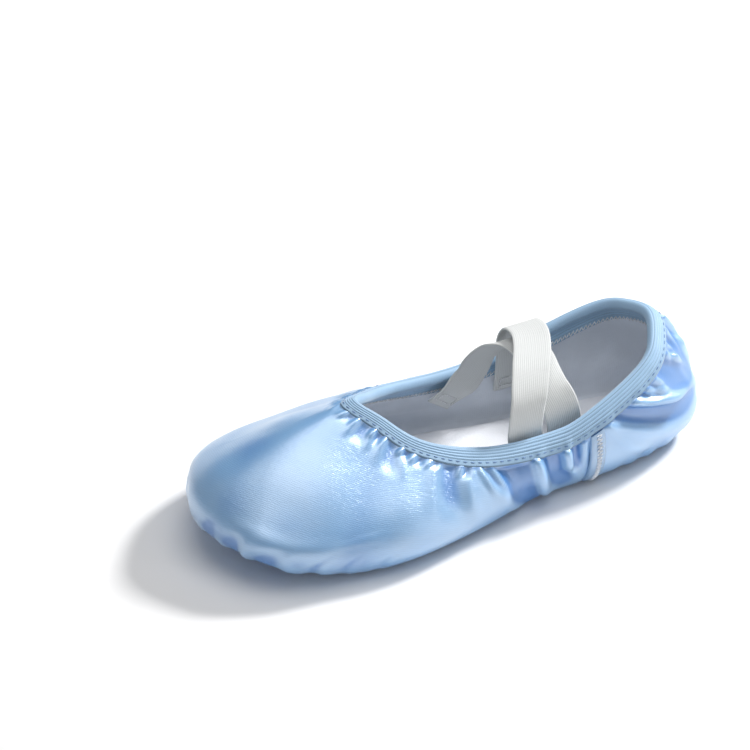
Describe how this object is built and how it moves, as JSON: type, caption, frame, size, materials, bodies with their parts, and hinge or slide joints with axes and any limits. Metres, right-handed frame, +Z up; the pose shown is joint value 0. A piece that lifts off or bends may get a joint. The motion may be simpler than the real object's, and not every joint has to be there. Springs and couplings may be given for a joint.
{
  "type": "ballet slipper",
  "caption": "Soft split-sole ballet slipper with a gathered satin upper, a ribbed elastic binding and elastic straps that cross over the instep.",
  "frame": {"origin": "on the floor, below the middle of the slipper's bounding box", "axes": "+X from the heel to the toe, +Y to the wearer's left, +Z up"},
  "size_m": [0.2228, 0.0932, 0.0613],
  "materials": {
    "satin": "glossy light-blue satin weave",
    "cotton_lining": "matt white cotton",
    "ribbed_elastic": "ribbed light-blue elastic tape",
    "blue_thread": "blue sewing thread",
    "insole_cotton": "matt white padded cotton",
    "suede": "pale grey split suede, brushed",
    "white_elastic": "white finely ribbed elastic",
    "white_thread": "white sewing thread"
  },
  "bodies": {
    "forefoot": {"vamp_satin": "satin", "vamp_lining": "cotton_lining", "throat_binding_front": "ribbed_elastic", "binding_thread_front": "blue_thread", "forefoot_insole": "insole_cotton", "front_sole": "suede", "front_sole_thread": "blue_thread", "strap_tack_left_front": "white_thread", "strap_tack_right_back": "white_thread", "strap_tack_left_back": "white_thread", "strap_tack_right_front": "white_thread"},
    "heel": {"heel_satin": "satin", "heel_lining": "cotton_lining", "throat_binding_heel": "ribbed_elastic", "binding_thread_heel": "blue_thread", "heel_insole": "insole_cotton", "heel_sole": "suede", "heel_sole_thread": "blue_thread", "side_seam_fell_left": "satin", "side_seam_fell_right": "satin"},
    "straps": {"strap_left_front_to_right_back": "white_elastic", "strap_left_back_to_right_front": "white_elastic"}
  },
  "joints": [
    {"name": "arch_flex", "type": "hinge", "parent": "forefoot", "child": "heel", "pos_m": [-0.051, 0, 0], "axis": [0, -1, 0], "range_deg": [0, 30], "stiffness_Nm_per_rad": 0.15},
    {"name": "strap_lift", "type": "slide", "parent": "forefoot", "child": "straps", "axis": [0, 0, 1], "range_m": [0, 0.02], "stiffness_N_per_m": 60, "deforming": ["strap_left_front_to_right_back", "strap_left_back_to_right_front"]}
  ]
}
